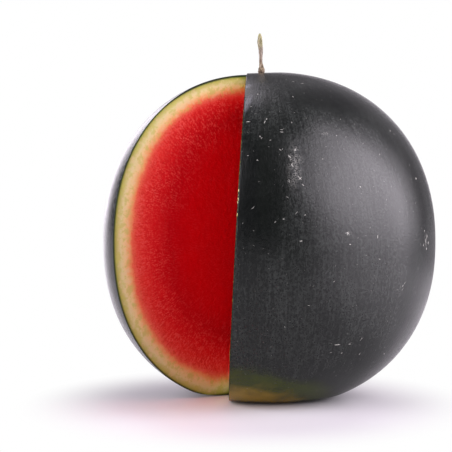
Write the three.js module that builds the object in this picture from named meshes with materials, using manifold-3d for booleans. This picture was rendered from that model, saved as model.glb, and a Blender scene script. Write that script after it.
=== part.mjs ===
// A ripe, dark watermelon that stands on its blossom end, with one wedge cut out of it from the stem end
// right through to the base. The fruit grew as one piece and is one solid. The dried stem is a piece of
// its own, with its root in a small socket in the crown.
// Millimetres, +Z up. The origin is the middle of the flat spot under the fruit, and -Y is the front.

import * as THREE from "three";
import { mergeVertices } from "three/addons/utils/BufferGeometryUtils.js";
import Module from "manifold-3d";

const wasm = await Module();
wasm.setup();

// The fruit's profile, a superellipse with its own height above and below the equator.
const EQUATOR_RADIUS = 125;
const EQUATOR_HEIGHT = 117; // of the widest ring above the flat spot
const CROWN_RISE = 128.5; // from the equator to the stem end
const BLOSSOM_DROP = 123.5; // from the equator to where a base with no flat spot would reach
const FULLNESS = 2.2; // the superellipse's power: 2 is an ellipse, more is squarer
const FLAT_SPOT_BLEND = 8; // how far each way the flat spot's edge is rounded

// Shallow relief of the skin.
const LOBES = 10;
const LOBE_SHARE = 0.0028; // of the radius, out on a lobe and in between two
const DIMPLE_DEPTH = 0.9;
const DIMPLE_RADIUS = 9;

// The two knife cuts. bearing is the way a cut runs out from the middle, anticlockwise from +X, and offset
// is how far to its left it passes from the fruit's axis. lean tips it to the left, going up. The wedge was
// on its left where side is 1, and on its right where side is -1. Angles are in degrees.
const SIDE_CUT = { bearing: 214.7, offset: -24.9, lean: -1.1, side: 1 };
const FRONT_CUT = { bearing: 269.5, offset: -23.3, lean: 3.0, side: -1 };
const KNIFE_REACH = 200; // half the size of the block that a cut takes away, well past the skin

// The stem's foot, and lists of [height above the skin, value]: its radius, and how far it leans along X.
const STEM_FOOT = new THREE.Vector2(-6, 0);
const STEM_RADII = [
  [-2.6, 1.5],
  [0.3, 1.7],
  [0.8, 2.5],
  [2.6, 2.3],
  [5.4, 1.7],
  [9.4, 1.1],
  [13, 1.4],
  [18, 1.8],
  [24, 1.9],
  [28.4, 1.3],
  [29.8, 0.7],
];
const STEM_LEAN = [
  [-2.6, 0],
  [4, 0.1],
  [9.4, -0.5],
  [18, -0.5],
  [24, -1.1],
  [29.8, -1.2],
];
const STEM_RIDGES = 5;
const STEM_RIDGE_SHARE = 0.14; // of the stem's radius
const STEM_TWIST = 150; // of the ridges from root to tip, in degrees
const SOCKET_GAP = 0.3;
const SOCKET_DEPTH = 3;

// How finely the surfaces are divided.
const SEGMENTS = 80;
const RINGS_ABOVE = 24;
const RINGS_BELOW = 17;
const CROWN_CROWDING = 1.6; // gathers the rings above the equator towards the stem end
const BLEND_STEPS = 4;
const STEM_SIDES = 20;
const STEM_RINGS = 26;
const SOCKET_SIDES = 24;
const WELD = 1e-4; // vertices closer than this are one

const radians = THREE.MathUtils.degToRad;

// A closed geometry as a solid, with shared vertices merged and collapsed faces left out.
function solidOf(geometry) {
  const bare = geometry.clone();
  bare.deleteAttribute("normal");
  bare.deleteAttribute("uv");
  const merged = mergeVertices(bare, WELD);
  const corners = merged.index.array;
  const kept = [];
  for (let i = 0; i < corners.length; i += 3) {
    const [a, b, c] = corners.subarray(i, i + 3);
    if (a !== b && b !== c && c !== a) kept.push(a, b, c);
  }
  return new wasm.Manifold(
    new wasm.Mesh({
      numProp: 3,
      vertProperties: merged.attributes.position.array,
      triVerts: new Uint32Array(kept),
    }),
  );
}

function geometryOf(solid) {
  const mesh = solid.getMesh();
  const geometry = new THREE.BufferGeometry();
  geometry.setAttribute("position", new THREE.BufferAttribute(mesh.vertProperties, 3));
  geometry.setIndex(new THREE.BufferAttribute(mesh.triVerts, 1));
  geometry.computeVertexNormals();
  return geometry;
}

// A point of the fruit's profile, at an angle from the equator that runs from -90 to 90 degrees.
function profilePoint(angle) {
  const rise = angle < 0 ? -BLOSSOM_DROP : CROWN_RISE;
  const out = Math.cos(angle) ** (2 / FULLNESS);
  const up = Math.abs(Math.sin(angle)) ** (2 / FULLNESS);
  return new THREE.Vector2(EQUATOR_RADIUS * out, EQUATOR_HEIGHT + rise * up);
}

// The radius at which the lower half of the profile comes down to a height.
function lowerRadius(height) {
  const share = (EQUATOR_HEIGHT - height) / BLOSSOM_DROP;
  return EQUATOR_RADIUS * (1 - share ** FULLNESS) ** (1 / FULLNESS);
}

// The profile from the middle of the flat spot, round its rounded edge and up to the stem end.
function fruitProfile() {
  const corner = new THREE.Vector2(lowerRadius(0), 0);
  const blendEnd = corner.x + FLAT_SPOT_BLEND;
  const lower = [];
  for (let i = RINGS_BELOW; i > 0; i--) {
    lower.push(profilePoint((-Math.PI / 2) * (i / RINGS_BELOW)));
  }
  const side = lower.filter((p) => p.x > blendEnd && p.y > 0);
  const edge = new THREE.QuadraticBezierCurve(
    new THREE.Vector2(corner.x - FLAT_SPOT_BLEND, 0),
    corner,
    side[0],
  );
  const upper = [];
  for (let i = 0; i <= RINGS_ABOVE; i++) {
    const share = 1 - (1 - i / RINGS_ABOVE) ** CROWN_CROWDING;
    upper.push(profilePoint((Math.PI / 2) * share));
  }
  upper[RINGS_ABOVE].x = 0;
  return [new THREE.Vector2(0, 0), ...edge.getPoints(BLEND_STEPS), ...side.slice(1), ...upper];
}

// How far the crown dips round the foot of the stem.
function dimple(x, y) {
  const share = Math.hypot(x - STEM_FOOT.x, y - STEM_FOOT.y) / DIMPLE_RADIUS;
  return DIMPLE_DEPTH * Math.exp(-share * share);
}

function wholeFruit() {
  const geometry = new THREE.LatheGeometry(fruitProfile(), SEGMENTS);
  geometry.rotateX(Math.PI / 2);
  const position = geometry.attributes.position;
  for (let i = 0; i < position.count; i++) {
    const x = position.getX(i);
    const y = position.getY(i);
    const z = position.getZ(i);
    const swell = 1 + LOBE_SHARE * Math.cos(LOBES * Math.atan2(y, x));
    const dip = z > EQUATOR_HEIGHT ? dimple(x, y) : 0;
    position.setXYZ(i, x * swell, y * swell, z - dip);
  }
  return solidOf(geometry);
}

// A block over everything on the side of a knife cut that the wedge was on.
function takenBy({ bearing, offset, lean, side }) {
  const block = new THREE.BoxGeometry(2 * KNIFE_REACH, 2 * KNIFE_REACH, 2 * KNIFE_REACH);
  block.translate(0, side * KNIFE_REACH, 0);
  block.rotateX(-radians(lean));
  block.translate(0, offset, EQUATOR_HEIGHT);
  block.rotateZ(radians(bearing));
  return solidOf(block);
}

const crownHeight = EQUATOR_HEIGHT + CROWN_RISE - DIMPLE_DEPTH;

function stemSocket() {
  const radius = STEM_RADII[0][1] * (1 + STEM_RIDGE_SHARE) + SOCKET_GAP;
  const hole = new THREE.CylinderGeometry(radius, radius, 2 * SOCKET_DEPTH, SOCKET_SIDES);
  hole.rotateX(Math.PI / 2);
  hole.translate(STEM_FOOT.x, STEM_FOOT.y, crownHeight);
  return solidOf(hole);
}

function melon() {
  const wedge = takenBy(SIDE_CUT).intersect(takenBy(FRONT_CUT));
  return geometryOf(wholeFruit().subtract(wedge).subtract(stemSocket()));
}

// Reads a list of [height, value] pairs as a smooth curve.
function smoothValue(pairs, height) {
  let next = 1;
  while (next < pairs.length - 1 && pairs[next][0] < height) next++;
  const [low, from] = pairs[next - 1];
  const [high, to] = pairs[next];
  const share = THREE.MathUtils.smoothstep(height, low, high);
  return THREE.MathUtils.lerp(from, to, share);
}

// The stem, ring by ring from its root to its tip. Its ridges twist round it on the way up.
function stem() {
  const [rootHeight] = STEM_RADII[0];
  const [tipHeight] = STEM_RADII[STEM_RADII.length - 1];
  const vertices = [];
  const faces = [];
  for (let ring = 0; ring <= STEM_RINGS; ring++) {
    const share = ring / STEM_RINGS;
    const height = THREE.MathUtils.lerp(rootHeight, tipHeight, share);
    const radius = smoothValue(STEM_RADII, height);
    const x = STEM_FOOT.x + smoothValue(STEM_LEAN, height);
    for (let side = 0; side < STEM_SIDES; side++) {
      const angle = (2 * Math.PI * side) / STEM_SIDES;
      const ridge = Math.cos(STEM_RIDGES * (angle - radians(STEM_TWIST) * share));
      const out = radius * (1 + STEM_RIDGE_SHARE * ridge);
      const y = STEM_FOOT.y + out * Math.sin(angle);
      vertices.push(x + out * Math.cos(angle), y, crownHeight + height);
    }
  }
  const at = (ring, side) => ring * STEM_SIDES + (side % STEM_SIDES);
  for (let ring = 0; ring < STEM_RINGS; ring++) {
    for (let side = 0; side < STEM_SIDES; side++) {
      faces.push(at(ring, side), at(ring, side + 1), at(ring + 1, side + 1));
      faces.push(at(ring, side), at(ring + 1, side + 1), at(ring + 1, side));
    }
  }
  for (let side = 1; side < STEM_SIDES - 1; side++) {
    faces.push(at(0, 0), at(0, side + 1), at(0, side));
    faces.push(at(STEM_RINGS, 0), at(STEM_RINGS, side), at(STEM_RINGS, side + 1));
  }
  const geometry = new THREE.BufferGeometry();
  geometry.setAttribute("position", new THREE.Float32BufferAttribute(vertices, 3));
  geometry.setIndex(faces);
  geometry.computeVertexNormals();
  return geometry;
}

function piece(name, geometry, color, roughness) {
  const material = new THREE.MeshStandardMaterial({ color, roughness, metalness: 0 });
  const mesh = new THREE.Mesh(geometry, material);
  mesh.name = name;
  return mesh;
}

const watermelon = new THREE.Group();
watermelon.name = "watermelon";
watermelon.add(piece("melon", melon(), 0x1f2a22, 0.4));
watermelon.add(piece("stem", stem(), 0x8f7a5f, 0.85));

export default watermelon;
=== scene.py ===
"""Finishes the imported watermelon: a dark waxy skin, and two wet cut faces of rind and red flesh, on one
closed mesh, with a dried stem on top. Lengths are in metres. The wedge opens to the front left."""

import math

import bpy
import numpy as np
from mathutils import Matrix, Vector, noise


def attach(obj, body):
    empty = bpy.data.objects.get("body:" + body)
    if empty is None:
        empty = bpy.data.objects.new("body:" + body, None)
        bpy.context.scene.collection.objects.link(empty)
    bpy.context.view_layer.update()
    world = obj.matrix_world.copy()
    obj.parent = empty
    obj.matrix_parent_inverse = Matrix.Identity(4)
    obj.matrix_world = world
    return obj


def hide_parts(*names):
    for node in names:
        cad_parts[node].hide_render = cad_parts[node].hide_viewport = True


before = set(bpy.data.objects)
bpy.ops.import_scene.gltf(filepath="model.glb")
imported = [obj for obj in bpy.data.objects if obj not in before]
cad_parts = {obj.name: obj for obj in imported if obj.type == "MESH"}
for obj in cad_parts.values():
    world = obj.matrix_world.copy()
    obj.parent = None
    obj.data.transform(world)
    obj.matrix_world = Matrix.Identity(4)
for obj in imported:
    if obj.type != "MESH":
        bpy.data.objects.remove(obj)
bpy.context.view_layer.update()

MM = 0.001

# The fruit's shape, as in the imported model: a superellipse of revolution with ten faint lobes.
EQUATOR_RADIUS = 125 * MM
EQUATOR_HEIGHT = 117 * MM
CROWN_RISE = 128.5 * MM
BLOSSOM_DROP = 123.5 * MM
FULLNESS = 2.2
LOBES = 10
LOBE_SHARE = 0.0028
FLAT_SPOT_BLEND = 6 * MM  # rounds the flat spot's edge
DIMPLE_DEPTH = 0.9 * MM
DIMPLE_RADIUS = 9 * MM
SKIN_INSET = 0.05 * MM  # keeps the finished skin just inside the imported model's box
CENTRE = np.array([0.0, 0.0, EQUATOR_HEIGHT])

# The two knife cuts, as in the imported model. Angles are in degrees.
SIDE_CUT = {"bearing": 214.7, "offset": -24.9 * MM, "lean": -1.1, "side": 1}
FRONT_CUT = {"bearing": 269.5, "offset": -23.3 * MM, "lean": 3.0, "side": -1}

# The stem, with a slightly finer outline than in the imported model: lists of (height above the skin,
# value) in millimetres, for its radius and for how far it leans along X.
STEM_FOOT = (-6 * MM, 0.0)
STEM_RADII = [
    (-2.6, 1.5),
    (0.3, 1.9),
    (0.8, 2.5),
    (2.6, 2.25),
    (5.4, 1.6),
    (7.8, 1.2),
    (11.9, 1.2),
    (15.6, 1.45),
    (20, 1.7),
    (23.2, 1.85),
    (27, 1.5),
    (28.6, 1.15),
    (29.8, 0.5),
]
STEM_LEAN = [(-2.6, 0), (4, 0.1), (9.4, -0.5), (18, -0.5), (24, -1.1), (29.8, -1.2)]

# How finely the fruit is divided.
ROWS = 230
SKIN_COLUMNS = 150
FACE_COLUMNS = 108
EDGE_COLUMN = 0.12  # the width of the skin's columns at the cuts, as a share of even ones

# The search for the skin from a point inside the fruit.
BEYOND_SKIN = 300 * MM
HALVINGS = 40
NEARLY_LEVEL = -1e-6  # the least fall of a direction, so that the ground is always met

# Noise of the shapes: how fast its octaves get fainter and finer, and how far apart its seeds lie.
FRACTAL = (1.0, 2.0)
SEED_STEPS = (7.3, 3.1, 5.7)

# The worn edge between the skin and a cut.
EDGE_WEAR = 0.12 * MM
CHIP_SIZE = 5 * MM
CHIP_DEPTH = 0.9 * MM
CHIP_STEEPNESS = 2.2 * MM
CHIP_RARITY = 0.42  # the more, the fewer chips
WEAR_SIZE = 1.6 * MM
WEAR_TAPER = 10 * MM  # from where the cut's face comes to a point
NO_LENGTH = 1e-9  # added to a direction that may be zero

# The relief of a cut face, as (size of its lumps, octaves, height): the knife's waves, the grain of the
# flesh, and the flesh torn along the line where the cuts meet.
WAVES = (26 * MM, 2, 0.35 * MM)
GRAIN = (3.2 * MM, 3, 0.28 * MM)
TORN = (4.5 * MM, 3, 1.6 * MM)
TORN_REACH = 5 * MM
RIND_DEPTH = 12 * MM
FLESH_BLEND = 5 * MM
RELIEF_TAPER = 3 * MM  # from the skin's edge
SHORT_FACE = 30 * MM  # where the face is shorter than this, the relief is lower


# Shape of the fruit


def cut_plane(cut):
    """A cut's unit normal, which points into the missing wedge, and a point on the cut."""
    bearing = math.radians(cut["bearing"])
    lean = math.radians(cut["lean"])
    left = np.array([-math.sin(bearing), math.cos(bearing), 0.0])
    normal = left * math.cos(lean) - np.array([0.0, 0.0, math.sin(lean)])
    return normal * cut["side"], CENTRE + left * cut["offset"]


def unit(vectors):
    return vectors / np.linalg.norm(vectors, axis=-1, keepdims=True)


def swell(x, y):
    """The share by which the lobes push the skin out."""
    return 1 + LOBE_SHARE * np.cos(LOBES * np.arctan2(y, x))


def fullness_at(points):
    """1 on the skin, less inside the fruit and more outside it. The flat spot is left out."""
    x, y, z = points.T
    out = np.hypot(x, y) / (EQUATOR_RADIUS * swell(x, y))
    rise = np.where(z > EQUATOR_HEIGHT, CROWN_RISE, BLOSSOM_DROP)
    up = np.abs(z - EQUATOR_HEIGHT) / rise
    return (out**FULLNESS + up**FULLNESS) ** (1 / FULLNESS)


def smooth_least(a, b, blend):
    """The lesser of two arrays, rounded where they are within a blend of each other."""
    near = np.maximum(blend - np.abs(a - b), 0) / blend
    return np.minimum(a, b) - near**2 * blend / 4


def skin_distance(start, directions):
    """How far the skin is from a point inside the fruit, in each direction."""
    near = np.zeros(len(directions))
    far = np.full(len(directions), BEYOND_SKIN)
    for _ in range(HALVINGS):
        middle = (near + far) / 2
        inside = fullness_at(start + directions * middle[:, None]) < 1
        near = np.where(inside, middle, near)
        far = np.where(inside, far, middle)
    down = np.minimum(directions[:, 2], NEARLY_LEVEL)
    floor = -start[2] / down
    return smooth_least(near, floor, FLAT_SPOT_BLEND) - SKIN_INSET


def ripple(points, size, seed, octaves):
    """Smooth noise between about -1 and 1 at each point, with lumps of a size."""
    shift = Vector([seed * step for step in SEED_STEPS])
    values = [noise.fractal(Vector(p) / size + shift, *FRACTAL, octaves) for p in points]
    return np.array(values)


def spread(count, first):
    """Shares from 0 to 1 in widening steps, of which the first is so much of an even step."""
    shares = np.linspace(0, 1, count + 1)
    return first * shares + (1 - first) * shares**2


def page_layout():
    """How the fruit's mesh is laid out: like a book whose spine is the line where the two cuts meet.
    Each page is a half plane from that line out to the skin. Gives the hub, which is a point on the
    spine, the spine's direction, the pages' directions, the angles at which the rows run out from the
    hub, and the normals of the two cuts."""
    side_normal, side_point = cut_plane(SIDE_CUT)
    front_normal, front_point = cut_plane(FRONT_CUT)
    spine = unit(np.cross(side_normal, front_normal))
    spine *= np.sign(spine[2])
    normals = np.array([side_normal, front_normal, [0, 0, 1]])
    spots = np.array([side_normal @ side_point, front_normal @ front_point, EQUATOR_HEIGHT])
    hub = np.linalg.solve(normals, spots)

    # Each page's direction away from the spine, from the front cut round the back to the side cut.
    front_page = unit(front_point - hub - spine * ((front_point - hub) @ spine))
    front_page *= -np.sign(front_page[1])
    across = np.cross(spine, front_page)
    side_page = unit(np.cross(side_normal, spine))
    side_page *= -np.sign(side_page[0])
    turn = math.atan2(side_page @ across, side_page @ front_page) % (2 * math.pi)
    half = spread(SKIN_COLUMNS // 2, EDGE_COLUMN) / 2
    shares = np.concatenate([half, 1 - half[-2::-1]])
    pages = [front_page * math.cos(turn * s) + across * math.sin(turn * s) for s in shares]
    climbs = np.linspace(-math.pi / 2, math.pi / 2, ROWS + 1)
    return hub, spine, np.array(pages), climbs, side_normal, front_normal


def fruit_points():
    """The skin's points by row and page, the spine's points by row, and the two cuts' normals."""
    hub, spine, pages, climbs, side_normal, front_normal = page_layout()
    columns = len(pages)
    rows = len(climbs)
    rays = (
        np.cos(climbs)[:, None, None] * pages[None, :, :]
        + np.sin(climbs)[:, None, None] * spine[None, None, :]
    )
    reach = skin_distance(hub, rays.reshape(-1, 3)).reshape(rows, columns)
    skin = hub + rays * reach[..., None]

    # The crown dips a little round the foot of the stem.
    away = np.hypot(skin[..., 0] - STEM_FOOT[0], skin[..., 1] - STEM_FOOT[1])
    dip = DIMPLE_DEPTH * np.exp(-((away / DIMPLE_RADIUS) ** 2))
    skin[..., 2] -= np.where(skin[..., 2] > EQUATOR_HEIGHT, dip, 0)

    # Points on the spine, one for each row.
    top = reach[-1, 0]
    bottom = reach[0, 0]
    along = np.where(climbs > 0, top, bottom) * np.sin(climbs)
    spine_points = hub + along[:, None] * spine
    return skin, spine_points, side_normal, front_normal


def cut_edge(skin_column, spine_points, seed):
    """The worn edge between the skin and a cut: nearly sharp, with small chips here and there."""
    inward = unit(spine_points - skin_column + NO_LENGTH)
    chips = np.maximum(ripple(skin_column, CHIP_SIZE, seed, 3) - CHIP_RARITY, 0) * CHIP_STEEPNESS
    fine = np.abs(ripple(skin_column, WEAR_SIZE, seed + 1, 2)) * EDGE_WEAR
    depth = EDGE_WEAR + np.minimum(chips, CHIP_DEPTH) + fine
    taper = np.minimum(np.linalg.norm(spine_points - skin_column, axis=1) / WEAR_TAPER, 1)
    return skin_column + inward * (depth * taper)[:, None]


def cut_face(edge, spine_points, normal, seed):
    """The points of one cut face, from the spine to the edge, with the flesh's relief."""
    shares = np.linspace(0, 1, FACE_COLUMNS + 1)
    grid = spine_points[:, None, :] + shares[None, :, None] * (edge - spine_points)[:, None, :]
    flat = grid.reshape(-1, 3)
    length = np.linalg.norm(edge - spine_points, axis=1)
    from_spine = (shares[None, :] * length[:, None]).ravel()
    from_edge = ((1 - shares)[None, :] * length[:, None]).ravel()
    depth = (1 - fullness_at(flat)) * EQUATOR_RADIUS
    flesh = np.clip((depth - RIND_DEPTH) / FLESH_BLEND, 0, 1)
    torn = np.exp(-from_spine / TORN_REACH)
    kinds = [(1, WAVES), (flesh, GRAIN), (torn, TORN)]
    relief = np.zeros(len(flat))
    for step, (weight, (size, octaves, height)) in enumerate(kinds):
        relief += weight * ripple(flat, size, seed + step, octaves) * height
    relief *= np.clip(from_edge / RELIEF_TAPER, 0, 1)
    relief *= np.clip(length / SHORT_FACE, 0, 1).repeat(len(shares))
    return (flat + normal * relief[:, None]).reshape(grid.shape)


def add_mesh(name, points, faces):
    """A smooth mesh object in the scene."""
    mesh = bpy.data.meshes.new(name)
    mesh.from_pydata(points, [], faces)
    mesh.polygons.foreach_set("use_smooth", np.ones(len(mesh.polygons), bool))
    mesh.update()
    made = bpy.data.objects.new(name, mesh)
    bpy.context.collection.objects.link(made)
    return made


def build_fruit():
    """The fruit as one closed mesh. Its first material is the skin's and its second the cut faces'."""
    skin, spine_points, side_normal, front_normal = fruit_points()
    front_edge = cut_edge(skin[:, 0], spine_points, seed=11)
    side_edge = cut_edge(skin[:, -1], spine_points, seed=23)
    front = cut_face(front_edge, spine_points, front_normal, seed=31)
    side = cut_face(side_edge, spine_points, side_normal, seed=47)
    middle = (front[:, 0] + side[:, 0]) / 2
    front[:, 0] = middle
    side[:, 0] = middle

    # One loop of points round the fruit for each row: out along the front cut, round the skin, back
    # along the side cut. The first and last rows are single points.
    loops = np.concatenate([front, skin[:, 1:-1], side[:, :0:-1]], axis=1)
    count = loops.shape[1]
    vertices = np.concatenate([loops[0, :1], loops[1:ROWS].reshape(-1, 3), loops[ROWS, :1]])
    final = len(vertices) - 1
    at = 1 + np.arange((ROWS - 1) * count).reshape(ROWS - 1, count)
    after = np.roll(at, -1, axis=1)
    quads = np.stack([at[:-1], after[:-1], after[1:], at[1:]], axis=-1).reshape(-1, 4)
    bottom = np.stack([np.zeros(count, int), after[0], at[0]], axis=-1)
    top = np.stack([at[-1], after[-1], np.full(count, final)], axis=-1)
    faces = [*bottom.tolist(), *quads.tolist(), *top.tolist()]
    fruit = add_mesh("melon_finish", vertices.tolist(), faces)

    column = np.arange(count)
    is_cut = (column <= FACE_COLUMNS) | (column >= FACE_COLUMNS + SKIN_COLUMNS - 1)
    fruit.data.polygons.foreach_set("material_index", np.tile(is_cut.astype(int), ROWS))
    fruit.data.validate()
    fruit.data.update()
    return fruit


# Shape of the stem

STEM_SIDES = 40
STEM_RINGS = 130
STEM_TWIST = math.radians(150)  # from root to tip

# How many ridges and finer strands run up the stem, and how far they stand out, as a share of its
# radius.
RIDGES = (5, 0.10)
STRANDS = (13, 0.05)
STRAND_DRIFT = 9  # how far the strands' wave lags behind the ridges' twist at the tip, in radians
ROUGH_STRETCH = 0.5  # the less, the longer the rough stem's lumps
ROUGH_FINENESS = 1.4
FOOT_HEIGHT = 1.6  # of the rough foot's middle above the skin, in millimetres
FOOT_REACH = 1.8


def read_off(pairs, height):
    """Reads a list of (height, value) pairs in millimetres as a smooth curve."""
    heights, values = np.array(pairs, float).T
    place = int(np.clip(np.searchsorted(heights, height), 1, len(heights) - 1))
    share = np.clip((height - heights[place - 1]) / (heights[place] - heights[place - 1]), 0, 1)
    share = share * share * (3 - 2 * share)
    return values[place - 1] + (values[place] - values[place - 1]) * share


def build_stem():
    """The dried stem: a shrunken, fibrous stalk with a rough foot and a blunt tip."""
    skin_height = EQUATOR_HEIGHT + CROWN_RISE - DIMPLE_DEPTH
    low = STEM_RADII[0][0]
    high = STEM_RADII[-1][0]
    points = []
    for ring in range(STEM_RINGS + 1):
        share = ring / STEM_RINGS
        height = low + (high - low) * share
        radius = read_off(STEM_RADII, height)
        lean = read_off(STEM_LEAN, height)
        for side in range(STEM_SIDES):
            angle = 2 * math.pi * side / STEM_SIDES
            turned = angle - STEM_TWIST * share
            ridge = math.cos(RIDGES[0] * turned) * RIDGES[1]
            strand = math.cos(STRANDS[0] * turned + STRAND_DRIFT * share) * STRANDS[1]
            spot = Vector((math.cos(angle), math.sin(angle), height * ROUGH_STRETCH))
            rough = noise.fractal(spot * ROUGH_FINENESS, *FRACTAL, 3)
            # The foot is the roughest part.
            knob = math.exp(-(((height - FOOT_HEIGHT) / FOOT_REACH) ** 2))
            out = radius * (0.98 + ridge + strand + rough * (0.05 + 0.12 * knob))
            points.append(
                (
                    STEM_FOOT[0] + (lean + out * math.cos(angle)) * MM,
                    STEM_FOOT[1] + out * math.sin(angle) * MM,
                    skin_height + height * MM,
                )
            )
    faces = []
    for ring in range(STEM_RINGS):
        for side in range(STEM_SIDES):
            next_side = (side + 1) % STEM_SIDES
            here = ring * STEM_SIDES
            above = here + STEM_SIDES
            faces.append((here + side, here + next_side, above + next_side, above + side))
    faces.append(tuple(reversed(range(STEM_SIDES))))
    faces.append(tuple(range(STEM_RINGS * STEM_SIDES, (STEM_RINGS + 1) * STEM_SIDES)))
    return add_mesh("stem_finish", points, faces)


# Shader formulas


class Field:
    """A number that varies over a surface: an output socket that can be used in formulas."""

    def __init__(self, graph, socket):
        self.graph = graph
        self.socket = socket

    def __add__(self, other):
        return self.graph.math("ADD", self, other)

    def __sub__(self, other):
        return self.graph.math("SUBTRACT", self, other)

    def __rsub__(self, other):
        return self.graph.math("SUBTRACT", other, self)

    def __mul__(self, other):
        return self.graph.math("MULTIPLY", self, other)

    def __truediv__(self, other):
        return self.graph.math("DIVIDE", self, other)

    def __rtruediv__(self, other):
        return self.graph.math("DIVIDE", other, self)

    def __pow__(self, other):
        return self.graph.math("POWER", self, other)

    __radd__ = __add__
    __rmul__ = __mul__


class Graph:
    """Adds nodes to a shader tree, so that a material reads as a list of formulas."""

    def __init__(self, tree):
        self.tree = tree
        tree.nodes.clear()

    def node(self, kind, inputs=(), **settings):
        """A new node of a kind. Its inputs go by name or by number."""
        made = self.tree.nodes.new(kind)
        for name, value in settings.items():
            setattr(made, name, value)
        for name, value in dict(inputs).items():
            self.feed(made.inputs[name], value)
        return made

    def feed(self, socket, value):
        if isinstance(value, Field):
            self.tree.links.new(value.socket, socket)
        elif isinstance(value, bpy.types.NodeSocket):
            self.tree.links.new(value, socket)
        else:
            socket.default_value = colour(value) if socket.type == "RGBA" else value

    def math(self, operation, *values):
        made = self.node("ShaderNodeMath", enumerate(values), operation=operation)
        return Field(self, made.outputs[0])

    def length(self, *parts):
        """The length of a vector that has these parts."""
        total = parts[0] * parts[0]
        for part in parts[1:]:
            total = total + part * part
        return self.math("SQRT", total)

    def coordinate(self, name):
        return self.node("ShaderNodeTexCoord").outputs[name]

    def split(self, vector):
        made = self.node("ShaderNodeSeparateXYZ", {"Vector": vector})
        return [Field(self, output) for output in made.outputs]

    def join(self, x, y, z):
        return self.node("ShaderNodeCombineXYZ", {"X": x, "Y": y, "Z": z}).outputs[0]

    def noise(self, where, size, detail=2.0, roughness=0.5):
        """Noise from 0 to 1 with lumps of a size in metres."""
        inputs = {"Vector": where, "Scale": 1 / size, "Detail": detail, "Roughness": roughness}
        return Field(self, self.node("ShaderNodeTexNoise", inputs).outputs["Fac"])

    def cells(self, where, size, feature="F1"):
        """A pattern of cells of a size in metres: the node, with its distance and random colour."""
        inputs = {"Vector": where, "Scale": 1 / size}
        return self.node("ShaderNodeTexVoronoi", inputs, feature=feature)

    def slide(self, value, start, end, low=0.0, high=1.0, kind="LINEAR"):
        """Goes evenly from low to high as the value goes from start to end."""
        inputs = {"Value": value, "From Min": start, "From Max": end, "To Min": low, "To Max": high}
        made = self.node("ShaderNodeMapRange", inputs, interpolation_type=kind)
        return Field(self, made.outputs["Result"])

    def fade(self, value, start, end, low=0.0, high=1.0):
        """Goes smoothly from low to high as the value goes from start to end."""
        return self.slide(value, start, end, low, high, "SMOOTHSTEP")

    def vector(self, operation, *values):
        """Vector arithmetic. A length or a dot product comes back as a field, the rest as vectors."""
        made = self.node("ShaderNodeVectorMath", enumerate(values), operation=operation)
        if operation in ("LENGTH", "DOT_PRODUCT"):
            return Field(self, made.outputs["Value"])
        return made.outputs["Vector"]

    def warped(self, where, size, amount):
        """A place moved about by noise with lumps of a size."""
        inputs = {"Vector": where, "Scale": 1 / size, "Detail": 2.0}
        push = self.node("ShaderNodeTexNoise", inputs).outputs["Color"]
        centred = self.vector("SUBTRACT", push, (0.5, 0.5, 0.5))
        scaled = self.vector("MULTIPLY", centred, (amount, amount, amount))
        return self.vector("ADD", where, scaled)

    def mix(self, first, second, share):
        """From the first colour to the second as share goes from 0 to 1."""
        inputs = {"Factor": share, "A": first, "B": second}
        return self.node("ShaderNodeMix", inputs, data_type="RGBA").outputs["Result"]

    def ramp(self, value, stops):
        """A colour read off a list of (place, colour) stops."""
        made = self.node("ShaderNodeValToRGB", {0: value})
        elements = made.color_ramp.elements
        while len(elements) < len(stops):
            elements.new(1.0)
        for element, (place, shade) in zip(elements, stops):
            element.position = place
            element.color = colour(shade)
        return made.outputs["Color"]

    def bump(self, height, distance):
        """The normal of a surface with relief. The height counts in distances."""
        return self.node("ShaderNodeBump", {"Height": height, "Distance": distance}).outputs["Normal"]

    def shader(self, **inputs):
        """A plain shader. An input's name has its spaces written as underscores."""
        spaced = {name.replace("_", " "): value for name, value in inputs.items()}
        return self.node("ShaderNodeBsdfPrincipled", spaced).outputs["BSDF"]

    def either(self, share, first, second):
        """From the first shader to the second as share goes from 0 to 1."""
        return self.node("ShaderNodeMixShader", {0: share, 1: first, 2: second}).outputs[0]

    def seen_by_camera(self):
        """1 for what the camera sees itself, and 0 for what lights the rest or shows in its gloss."""
        return self.node("ShaderNodeLightPath").outputs["Is Camera Ray"]

    def surface(self, shader):
        """Makes a shader the material's surface."""
        self.node("ShaderNodeOutputMaterial", {"Surface": shader})


def colour(value):
    """A colour of three parts with its alpha."""
    return (*value, 1.0)


def new_material(name):
    material = bpy.data.materials.new(name)
    material.use_nodes = True
    return material, Graph(material.node_tree)


# Marks on the skin

MARK_DEPTH = 3  # how far a mark reaches through the skin, as a share of its longer half

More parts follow.
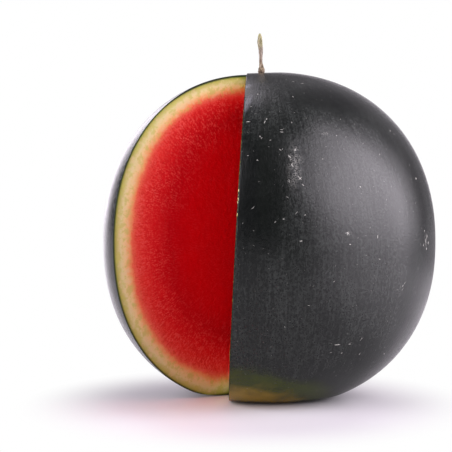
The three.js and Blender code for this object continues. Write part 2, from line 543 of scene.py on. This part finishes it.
# Strokes, from left to right round the fruit: (bearing, height, half length, half width, tilt), with
# bearing and tilt in degrees and the rest in millimetres.
STROKES = [
    (260.6, 210, 2.0, 0.28, 4),
    (262.8, 229.6, 0.7, 0.36, 40),
    (265.6, 183.3, 0.9, 0.36, -20),
    (266.3, 199.8, 1.1, 0.32, 120),
    (266.9, 198.8, 0.9, 0.28, 35),
    (268.0, 210, 1.7, 0.28, 75),
    (268.8, 212.1, 0.9, 0.40, 60),
    (274.2, 190.6, 1.2, 0.28, -45),
    (274.8, 142.3, 0.9, 0.28, 0),
    (275.0, 190.9, 1.0, 0.24, 50),
    (275.2, 204.6, 1.6, 0.26, 5),
    (275.2, 203.0, 1.7, 0.26, -4),
    (276.9, 168.6, 1.8, 0.18, 100),
    (277.6, 185.7, 1.9, 0.36, -58),
    (278.2, 180.2, 2.2, 0.19, 62),
    (278.5, 179.4, 2.0, 0.19, 105),
    (279.9, 190.5, 1.6, 0.26, 50),
    (279.9, 190.4, 1.3, 0.22, -48),
    (280.0, 209.4, 1.1, 0.20, 88),
    (280.4, 126.6, 1.7, 0.28, 0),
    (280.6, 171.0, 2.7, 0.27, -50),
    (280.9, 170.5, 2.2, 0.24, 38),
    (281.7, 165.8, 1.2, 0.29, -40),
    (281.9, 144.8, 0.7, 0.28, 20),
    (284.0, 227.6, 0.8, 0.32, 90),
    (290.1, 183.7, 0.6, 0.40, 0),
    (292.0, 238.5, 1.4, 0.24, 0),
    (294.9, 44.4, 1.0, 0.32, 0),
    (296.4, 131.8, 2.2, 0.21, 12),
    (296.6, 131.2, 1.7, 0.19, 70),
    (296.7, 50.3, 3.2, 0.48, 0),
    (296.9, 131.0, 1.8, 0.19, -42),
    (297.4, 123.4, 0.8, 0.36, 0),
    (298.6, 237.2, 1.9, 0.34, 0),
    (298.8, 200.1, 0.7, 0.26, 20),
    (300.0, 43.5, 0.8, 0.30, 30),
    (302.3, 50.1, 1.3, 0.32, 0),
    (303.3, 163.9, 0.9, 0.34, 100),
    (307.0, 53.0, 2.4, 0.20, 60),
    (308.6, 128.1, 1.6, 0.24, 85),
    (309.5, 41.5, 1.4, 0.20, 80),
    (321.7, 91.0, 1.6, 0.26, 45),
    (322.8, 92.9, 1.7, 0.27, 42),
    (335.1, 118.8, 1.8, 0.50, 60),
    (336.4, 129.0, 1.3, 0.55, 85),
    (336.9, 167.5, 1.2, 0.60, 60),
    (337.4, 121.6, 2.6, 0.50, 68),
    (338.2, 115.5, 1.5, 0.50, 50),
    (338.8, 124.4, 2.4, 0.50, 64),
    (340.5, 119.5, 1.6, 0.60, 95),
]
# Patches of fine crackle, in the same form.
CRACKLES = [
    (279.2, 180.0, 24.0, 7.0, 84),
    (293.5, 201.5, 6.0, 2.4, -6),
    (296.7, 131.4, 4.2, 2.6, 0),
    (335.2, 201.6, 7.0, 2.6, -30),
    (337.6, 121.5, 9.0, 6.0, 66),
    (150.0, 168.0, 8.0, 4.0, 40),
    (75.0, 88.0, 6.0, 3.0, -20),
    (20.0, 190.0, 7.0, 3.2, 15),
]
# Patches of painted highlight on the skin by the top of the front cut, and patches where the skin is
# rubbed a little paler, the first of them a painted sheen next to the highlight, in the same form.
PAINTED_HIGHLIGHT_PATCHES = [
    (256.5, 219.0, 24.0, 5.0, 80),
    (250.0, 233.0, 14.0, 4.5, 60),
]
RUBBED_AND_SHEEN_PATCHES = [
    (263.5, 226.0, 26.0, 8.0, 88),
    (280.2, 179.0, 28.0, 8.0, 84),
    (120.0, 205.0, 26.0, 9.0, 80),
    (20.0, 150.0, 30.0, 10.0, 84),
]
# Patches of painted shade, where the wax bloom is thinned so that the skin is darker, in the same form.
PAINTED_SHADE_PATCHES = [
    (266.5, 160.0, 74.0, 33.0, 88),
    (306.0, 226.0, 44.0, 22.0, -8),
    (337.0, 155.0, 62.0, 14.0, 88),
    (190.0, 120.0, 60.0, 24.0, 80),
]


def skin_place(bearing, height):
    """The skin's point at a bearing and a height, and its directions round, up and out of the fruit."""
    angle = math.radians(bearing)
    level = height * MM - EQUATOR_HEIGHT
    rise = CROWN_RISE if level > 0 else -BLOSSOM_DROP
    up = level / rise
    out = (1 - up**FULLNESS) ** (1 / FULLNESS)
    radius = EQUATOR_RADIUS * out
    point = Vector((radius * math.cos(angle), radius * math.sin(angle), height * MM))
    slope = out ** (FULLNESS - 1) / EQUATOR_RADIUS
    lift = up ** (FULLNESS - 1) / rise
    outward = Vector((slope * math.cos(angle), slope * math.sin(angle), lift)).normalized()
    around = Vector((-math.sin(angle), math.cos(angle), 0))
    return point, around, outward.cross(around), outward


def mark_reach(g, where, mark):
    """How far a place is from the middle of a mark: 1 on the ellipse that bounds it."""
    bearing, height, half_length, half_width, tilt = mark
    point, around, up, outward = skin_place(bearing, height)
    turn = math.radians(tilt)
    along = around * math.cos(turn) + up * math.sin(turn)
    turned = Matrix((along, outward.cross(along), outward)).transposed()
    thickness = MARK_DEPTH * max(half_length, half_width)
    inputs = {
        "Vector": where,
        "Location": point,
        "Rotation": turned.to_euler(),
        "Scale": (half_length * MM, half_width * MM, thickness * MM),
    }
    mapped = g.node("ShaderNodeMapping", inputs, vector_type="TEXTURE").outputs[0]
    return g.vector("LENGTH", mapped)


def drawn_marks(g, where, marks, solid):
    """The marks of a list, each 1 inside its solid share and fading to 0 at its edge."""
    reach = mark_reach(g, where, marks[0])
    for mark in marks[1:]:
        reach = g.math("MINIMUM", reach, mark_reach(g, where, mark))
    return g.fade(reach, 1.0, solid)


def strewn_marks(g, where, size, half_length, half_width, share):
    """Small dashes strewn at random all over the skin, each turned its own way and from 0.3 to 1.3
    times the half length. There is one in a share of the cells, which are of a size."""
    cells = g.cells(where, size)
    offset = g.vector("SUBTRACT", where, cells.outputs["Position"])
    outward = g.vector("NORMALIZE", g.vector("SUBTRACT", where, (0, 0, EQUATOR_HEIGHT)))
    around = g.vector("NORMALIZE", g.vector("CROSS_PRODUCT", (0, 0, 1), outward))
    sideways = g.vector("DOT_PRODUCT", offset, around)
    upward = g.vector("DOT_PRODUCT", offset, g.vector("CROSS_PRODUCT", outward, around))
    turn, chance, length = g.split(cells.outputs["Color"])
    cosine = g.math("COSINE", turn * math.pi)
    sine = g.math("SINE", turn * math.pi)
    along = (sideways * cosine + upward * sine) / ((length + 0.3) * half_length)
    across = (upward * cosine - sideways * sine) / half_width
    reach = g.length(along, across)
    return g.fade(reach, 1.0, 0.3) * g.math("LESS_THAN", chance, share)


# Materials

# The ground spot: its middle, under the front of the base, and how far from there its yellow and the
# green round it reach. Each is gone at its first number and full at its second.
GROUND_SPOT = (-14 * MM, -48 * MM)
YELLOW_REACH = (52 * MM, 20 * MM)
GREEN_REACH = (78 * MM, 52 * MM)


def skin_material():
    """Near-black green skin: waxy, faintly streaked from pole to pole and scuffed, with a yellow ground
    spot, patches of painted shade, and a painted highlight and sheen by the top of the front cut."""
    material, g = new_material("melon_skin")
    where = g.coordinate("Object")
    x, y, z = g.split(where)
    out = g.length(x, y)

    # Noise for clouds, mottling and grain, and stretched from pole to pole for streaks and fibres.
    around_x = x / (out + 1 * MM) * EQUATOR_RADIUS
    around_y = y / (out + 1 * MM) * EQUATOR_RADIUS
    long_streaks = g.join(around_x, around_y, z * 0.07)
    short_streaks = g.warped(g.join(around_x, around_y, z * 0.38), 4 * MM, 2 * MM)
    cloud = g.noise(where, 24 * MM, 3)
    mottle = g.noise(where, 5 * MM, 3, 0.6)
    streak = g.noise(long_streaks, 2.4 * MM, 3, 0.6)
    broad_streak = g.noise(long_streaks, 12 * MM, 2)
    fibre = g.noise(short_streaks, 1.3 * MM, 3, 0.65)
    grain = g.noise(where, 1.9 * MM, 3, 0.7)

    # Dark green under a thin bloom of wax, rubbed in patches, thinned in patches of painted shade, and
    # with a painted highlight and sheen by the top of the front cut.
    tone = g.fade(broad_streak + (mottle - 0.5) * 0.5, 0.35, 0.65)
    dark = g.mix((0.0014, 0.0026, 0.0021), (0.0034, 0.0050, 0.0038), tone)
    threads = g.fade(fibre, 0.45, 0.64) * g.fade(mottle, 0.32, 0.62, 0.3, 1.0)
    pores = g.fade(grain * 0.8 + streak * 0.2, 0.38, 0.66)
    # Painted shade: the wax bloom is thinned in the shade patches, so the skin is darker there.
    thick_less_painted_shade = g.fade(cloud, 0.30, 0.70, 0.60, 1.0) * (1 - drawn_marks(g, where, PAINTED_SHADE_PATCHES, 0.3) * 0.85)
    bloom = thick_less_painted_shade * g.math("MAXIMUM", threads, pores) * g.fade(streak, 0.34, 0.66, 0.75, 1.25)
    waxed = g.mix(dark, (0.0325, 0.0368, 0.0337), bloom)
    # Painted highlight: the worn patches by the top of the front cut. The first rubbed patch, next to
    # them, is painted sheen.
    painted_highlight = drawn_marks(g, where, PAINTED_HIGHLIGHT_PATCHES, 0.3) * g.fade(fibre, 0.30, 0.58)
    rubbed_and_sheen = drawn_marks(g, where, RUBBED_AND_SHEEN_PATCHES, 0.1) * g.fade(fibre, 0.42, 0.62)
    scuffed = g.mix(waxed, (0.061, 0.065, 0.066), rubbed_and_sheen * 0.45)
    body = g.mix(scuffed, (0.130, 0.133, 0.147), painted_highlight)

    # The ground spot, with a ragged edge.
    from_spot = g.length(x - GROUND_SPOT[0], y - GROUND_SPOT[1]) + z * 0.75
    spot_edge = from_spot + (g.noise(where, 16 * MM, 4) - 0.5) * (34 * MM)
    with_green = g.mix(body, (0.044, 0.058, 0.001), g.fade(spot_edge, *GREEN_REACH))
    with_spot = g.mix(with_green, (0.40, 0.235, 0.010), g.fade(spot_edge, *YELLOW_REACH))

    # The blossom scar in the middle of the base, and the corky ring round the stem's foot.
    scar = g.fade(out + (grain - 0.5) * (2 * MM), 6 * MM, 3 * MM) * g.fade(z, 4 * MM, 2 * MM)
    with_scar = g.mix(with_spot, (0.11, 0.065, 0.03), scar)
    from_stem = g.length(x - STEM_FOOT[0], y)
    ring_edge = from_stem + (mottle - 0.5) * (7 * MM)
    ring = g.fade(ring_edge, 6.5 * MM, 3.0 * MM) * g.fade(z, 200 * MM, 220 * MM)
    with_ring = g.mix(with_scar, (0.085, 0.050, 0.028), ring * 0.9)

    # Scratches, nicks and crackle: pale where the green layer is broken.
    ragged = g.warped(where, 1.3 * MM, 0.9 * MM)
    strokes = drawn_marks(g, ragged, STROKES, 0.4)
    dashes = strewn_marks(g, ragged, 15 * MM, 1.6 * MM, 0.20 * MM, 0.10)
    specks = strewn_marks(g, ragged, 5 * MM, 0.9 * MM, 0.20 * MM, 0.14)
    network = g.cells(g.warped(where, 2.0 * MM, 1.4 * MM), 1.5 * MM, "DISTANCE_TO_EDGE")
    line = g.fade(Field(g, network.outputs["Distance"]), 0.13, 0.03) * g.fade(mottle, 0.36, 0.58)
    crackle = drawn_marks(g, where, CRACKLES, 0.2) * line
    faint = g.math("MAXIMUM", crackle * 0.32, specks * 0.26)
    marks = g.math("MAXIMUM", g.math("MAXIMUM", strokes, dashes * 0.8), faint)
    shade = g.mix(with_ring, (0.70, 0.69, 0.63), marks * g.fade(grain, 0.35, 0.55, 0.55, 0.95))

    # The left flank is shinier than the rest, and the fibres and marks are duller.
    polish = g.fade(x, -92 * MM, -70 * MM, 0.45, 1.0)
    rough = (g.fade(cloud, 0.3, 0.7, 0.16, 0.21) + (fibre - 0.5) * 0.10) * polish + marks * 0.25
    normal = g.bump(grain + fibre * 0.6 + streak * 0.3, 0.16 * MM)
    g.surface(g.shader(Base_Color=shade, Roughness=rough, Normal=normal, IOR=1.5))
    return material


# The colours below the skin, each at its depth in millimetres, where the rind is thickest. From 25 to 48
# mm the red darkens, partly the flesh's own deeper red towards the heart and partly painted shade of the
# deep notch.
FLESH_LAYERS = [
    (0.0, (0.010, 0.016, 0.006)),
    (0.6, (0.030, 0.045, 0.012)),
    (1.2, (0.14, 0.18, 0.04)),
    (2.1, (0.42, 0.45, 0.10)),
    (4.0, (0.59, 0.61, 0.23)),
    (6.5, (0.77, 0.76, 0.40)),
    (10.0, (0.87, 0.71, 0.35)),
    (13.5, (0.89, 0.45, 0.185)),
    (16.5, (0.85, 0.175, 0.095)),
    (20.0, (0.83, 0.082, 0.060)),
    # Partly painted shade: the reds from here to 48 mm darken in part for the shade deep in the notch.
    (25.0, (0.80, 0.043, 0.038)),
    (34.0, (0.72, 0.0150, 0.020)),
    (48.0, (0.57, 0.0030, 0.0110)),
    (65.0, (0.66, 0.0012, 0.0085)),
]
LAYERS_DEPTH = FLESH_LAYERS[-1][0] * MM


def flesh_material():
    """The cut faces. The layers follow the depth below the skin: a thin green line, pale rind that turns
    from green to cream to peach, and wet, granular red flesh."""
    material, g = new_material("melon_cut")
    where = g.coordinate("Object")
    x, y, z = g.split(where)

    # The depth below the skin, or the height above the ground where that is less.
    up = z - EQUATOR_HEIGHT
    rise = g.fade(up, -1e-6, 1e-6, BLOSSOM_DROP, CROWN_RISE)
    out = g.length(x, y)
    high = g.math("ABSOLUTE", up) / rise
    full = ((out / EQUATOR_RADIUS) ** FULLNESS + high**FULLNESS) ** (1 / FULLNESS)
    depth = g.math("MINIMUM", g.length(x, y, up) * (1 / full - 1), z)

    # The rind is thinner at the stem end, where the red deepens sooner, and its inner edge wavers.
    thinner = g.fade(up, 60 * MM, 125 * MM, 1.0, 1.30)
    deeper = g.math("MAXIMUM", depth - 16 * MM, 0) * g.fade(up, 30 * MM, 110 * MM, 0.0, 0.6)
    crown_red = g.fade(up, 84 * MM, 108 * MM) * g.fade(depth, 14 * MM, 21 * MM) * (6 * MM)
    crown_green = g.fade(up, 98 * MM, 122 * MM) * (0.9 * MM)
    coarse = (g.noise(where, 15 * MM, 2) - 0.5) * (5 * MM)
    middling = (g.noise(where, 4 * MM, 3) - 0.5) * (3.4 * MM)
    fine = (g.noise(where, 1.1 * MM, 2) - 0.5) * (2.6 * MM)
    waver = (coarse + middling + fine) * g.fade(depth, 2 * MM, 12 * MM)

    # The skin's edge along the front cut is nicked half way up, so that the pale rind shows.
    nicked = g.fade(x, -50 * MM, -36 * MM) * g.fade(depth, 0.8 * MM, 0.2 * MM)
    chipped = g.fade(g.math("ABSOLUTE", z - 153 * MM), 17 * MM, 9 * MM, 0.10, 1.0)
    nicks = g.fade(g.noise(where, 2.4 * MM, 2), 0.54, 0.62) * nicked * chipped * (9 * MM)
    layer = (depth * thinner + deeper + crown_red + waver + nicks - crown_green) / LAYERS_DEPTH
    stops = [(place * MM / LAYERS_DEPTH, shade) for place, shade in FLESH_LAYERS]
    base = g.ramp(layer, stops)

    # Mottling in the rind: greener and paler patches.
    rind = g.fade(depth, 1.2 * MM, 3 * MM) * g.fade(depth, 16 * MM, 11 * MM)
    patch = g.noise(where, 5 * MM, 3, 0.65)
    greener = g.mix(base, (0.56, 0.61, 0.14), g.fade(patch, 0.47, 0.64) * rind * 0.60)
    mottled = g.mix(greener, (0.80, 0.70, 0.42), g.fade(patch, 0.48, 0.34) * rind * 0.45)

    # Juice cells show as fine pale grains in rows along the rind, with darker hollows between them, most
    # of them in the outer flesh. The pale grains are partly painted glints and the darker hollows partly
    # painted shade.
    flesh = g.fade(depth * thinner, 13 * MM, 19 * MM)
    climb = g.math("ARCTAN2", up, out) * EQUATOR_RADIUS
    rows = g.noise(g.join(depth * 0.45, climb, out * 0.1), 1.5 * MM, 2, 0.6)
    grain = g.noise(where, 1.2 * MM, 3, 0.6)
    grainy = g.fade(g.noise(where, 24 * MM, 2), 0.30, 0.62, 0.35, 1.0)
    band = flesh * g.fade(depth, 62 * MM, 24 * MM, 0.22, 1.0) * grainy
    grains_and_glints = g.fade(grain * 0.5 + rows * 0.5, 0.48, 0.60) * band
    # Partly painted glints in the pale grains here, and partly painted shade in the darker hollows below.
    pale = g.mix(mottled, (0.88, 0.165, 0.140), grains_and_glints * 0.60)
    hollow_tone_and_shade = g.fade(grain * 0.5 + rows * 0.5, 0.50, 0.40) * band
    shade = g.mix(pale, (0.56, 0.006, 0.012), hollow_tone_and_shade * 0.40)

    cells = g.cells(where, 1.6 * MM)
    bulge = 1 - Field(g, cells.outputs["Distance"])
    height = bulge * 0.5 * flesh + grain * (0.25 + 0.6 * flesh) + rows * 0.4 * flesh
    normal = g.bump(height, 0.35 * MM)
    shader = g.shader(
        Base_Color=shade,
        Roughness=g.fade(grain, 0.3, 0.7, 0.32, 0.55),
        Normal=normal,
        IOR=1.36,
        Specular_IOR_Level=0.2,
        Subsurface_Weight=0.12,
        Subsurface_Radius=(1.0, 0.25, 0.15),
        Subsurface_Scale=3 * MM,
    )
    g.surface(shader)
    return material


# The stem's colours, each at its share of the stem's height.
STEM_HEIGHT = 30 * MM
STEM_COLOURS = [
    (0.00, (0.10, 0.060, 0.030)),
    (0.14, (0.20, 0.140, 0.070)),
    (0.30, (0.24, 0.180, 0.130)),
    (0.55, (0.32, 0.260, 0.200)),
    (0.72, (0.38, 0.350, 0.170)),
    (1.00, (0.52, 0.500, 0.230)),
]


def stem_material():
    """Dry stalk: olive straw at the tip, grey-brown with pale and dark strands, brown and flaky at the
    foot."""
    material, g = new_material("dried_stalk")
    where = g.coordinate("Object")
    x, y, z = g.split(where)
    height = z - (EQUATOR_HEIGHT + CROWN_RISE)
    strand = g.noise(g.join(x, y, z * 0.12), 0.9 * MM, 3, 0.6)
    blotch = g.noise(where, 3.5 * MM, 3)
    base = g.ramp((height + (blotch - 0.5) * (5 * MM)) / STEM_HEIGHT, STEM_COLOURS)
    shade = g.mix(base, (0.050, 0.034, 0.026), g.fade(strand, 0.48, 0.36) * 0.90)
    lit = g.mix(shade, (0.70, 0.62, 0.54), g.fade(strand, 0.53, 0.64) * 0.75)
    flake = g.fade(g.noise(where, 1.4 * MM, 2), 0.52, 0.62) * g.fade(height, 8 * MM, 5 * MM)
    flaked = g.mix(lit, (0.50, 0.40, 0.27), flake * 0.8)
    g.surface(g.shader(Base_Color=flaked, Roughness=0.8, Normal=g.bump(strand, 0.35 * MM)))
    return material


# Floor, light and camera

FLOOR_RADIUS = 4.0
FLOOR_SIDES = 96
WHITE = (1.0, 1.0, 1.0)


def floor_material():
    """Grey gloss board, with a painted pool of light behind on the right and painted shade far off there,
    in what it lights and mirrors. The camera sees it white, with the soft shadow near the fruit. Farther
    off it glows white, a glow that paints out the rest of the shadow and fades it into the background."""
    material, g = new_material("floor")
    x, y, _ = g.split(g.coordinate("Object"))
    # Painted shade far off on the right.
    far = g.fade(g.length(x, y), 450 * MM, 1100 * MM) * g.fade(x, 0, 200 * MM)
    # Painted light: a paler pool behind on the right, reaching in under the fruit's right side.
    paler = g.mix((0.43, 0.43, 0.43), (0.78, 0.78, 0.78), g.fade(x + y * 0.6, 20 * MM, 220 * MM))
    shade = g.mix(paler, (0.30, 0.30, 0.30), far)
    lighting = g.shader(Base_Color=shade, Roughness=0.28, IOR=1.45)
    pictured = g.shader(Base_Color=(0.82, 0.80, 0.82), Roughness=0.4, Specular_IOR_Level=0.25)
    # Painted light: the white glow that the camera sees farther off, over the fruit's shadow.
    white = g.node("ShaderNodeEmission", {"Color": WHITE, "Strength": 1.0}).outputs[0]
    faded = g.fade(g.length((x + 15 * MM) * 1.15, (y + 45 * MM) * 0.85), 100 * MM, 200 * MM)
    g.surface(g.either(g.seen_by_camera(), lighting, g.either(faded, pictured, white)))
    return material


def build_floor():
    bpy.ops.mesh.primitive_circle_add(vertices=FLOOR_SIDES, radius=FLOOR_RADIUS, fill_type="NGON")
    floor = bpy.context.object
    floor.name = "floor"
    floor.data.materials.append(floor_material())


def build_light():
    """A studio drawn on the sky, by bearing in degrees from the front, growing to the right, and by
    rise above the horizon: a tall softbox on the right, a bright screen behind on the left, a pale
    backdrop behind, a fill on the left, and a dim room at the front and overhead."""
    world = bpy.data.worlds.new("studio")
    bpy.context.scene.world = world
    world.use_nodes = True
    g = Graph(world.node_tree)
    x, y, z = g.split(g.coordinate("Generated"))
    bearing = g.math("ARCTAN2", x, y * -1) * math.degrees(1)
    behind = g.math("WRAP", bearing, 360, 0)  # the same bearing, but from 0 to 360
    rise = g.math("ARCSINE", z) * math.degrees(1)

    def between(value, low, high, soft):
        """1 between two angles, with soft edges."""
        return g.fade(value, low - soft, low + soft) * g.fade(value, high + soft, high - soft)

    # The softbox brightens from its near side to its far side, more slowly low down, and is dimmer at
    # its top and its foot. A dim flap hangs along its far side.
    sweep = g.slide(rise, 0, 45, 1, 0)
    ramp_end = sweep * sweep * 62 + 19
    ramp = g.math("MINIMUM", (bearing - 17) / (ramp_end - 17), 1)
    near_side = g.fade(bearing, 15.5, 18) * (g.math("MAXIMUM", ramp, 0) * 0.84 + 0.16)
    inside = near_side * g.fade(rise - 67, 3, -3)
    spread_light = g.fade(bearing, 12, 75, 1.6, 5.0) + g.fade(bearing, 80, 100) * 0.6
    tall_light = g.fade(rise, -6, 25, 0.65, 1.0) * g.fade(rise, 30, 66, 1.0, 0.46)
    flap_edge = bearing - g.fade(rise, 10, 32, 113, 104)
    flap = g.math("MAXIMUM", g.fade(flap_edge, 2, -2), g.fade(rise, 20, 55, 0.30, 0.16))
    far_edge = bearing - g.fade(rise, 10, 36, 128.5, 124.5)
    softbox = inside * flap * g.fade(far_edge, 2, -2) * spread_light * tall_light

    screen = g.fade(behind, 184, 192) * g.fade(behind, 207, 205) * g.fade(rise, 75, 68)
    backdrop = between(behind, 166, 182, 2) * g.fade(rise, 14, 6)
    gap = between(behind, 124, 176, 3)
    fill = between(bearing, -98, -33, 4) * between(rise, -5, 52, 6)
    ceiling = g.fade(rise, 68, 82)
    room = 0.12 + gap * 0.15 + ceiling * 0.15
    level = room + softbox + screen * 2.3 + backdrop * 0.75 + fill * 3.5

    light = g.node("ShaderNodeBackground", {"Color": (1.0, 0.93, 1.02), "Strength": level}).outputs[0]
    paper = g.node("ShaderNodeBackground", {"Color": WHITE, "Strength": 1.0}).outputs[0]
    g.node("ShaderNodeOutputWorld", {"Surface": g.either(g.seen_by_camera(), light, paper)})


# The camera looks from the front, a little from above, from far off. It aims to the left of the fruit
# and above its middle, as the photograph is framed.
CAMERA_DISTANCE = 1853 * MM
CAMERA_RISE = math.radians(4.0)
CAMERA_LENS = 195.3  # the lens and the sensor are in millimetres
CAMERA_SENSOR = 36
CAMERA_REACH = (0.05, 50)  # what is nearer or farther isn't drawn
AIM = Vector((-32.6 * MM, 0, 129.4 * MM))


def build_camera():
    camera = bpy.data.objects.new("camera", bpy.data.cameras.new("camera"))
    bpy.context.collection.objects.link(camera)
    away = Vector((0, -math.cos(CAMERA_RISE), math.sin(CAMERA_RISE))) * CAMERA_DISTANCE
    camera.location = Vector(CENTRE) + away
    camera.rotation_mode = "QUATERNION"
    camera.rotation_quaternion = (AIM - camera.location).to_track_quat("-Z", "Y")
    camera.data.lens = CAMERA_LENS
    camera.data.sensor_width = CAMERA_SENSOR
    camera.data.clip_start, camera.data.clip_end = CAMERA_REACH
    bpy.context.scene.camera = camera


fruit = build_fruit()
fruit.data.materials.append(skin_material())
fruit.data.materials.append(flesh_material())
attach(fruit, "root")
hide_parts("melon")

stalk = build_stem()
stalk.data.materials.append(stem_material())
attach(stalk, "root")
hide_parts("stem")

build_floor()
build_light()
build_camera()
bpy.context.scene.view_settings.view_transform = "Standard"
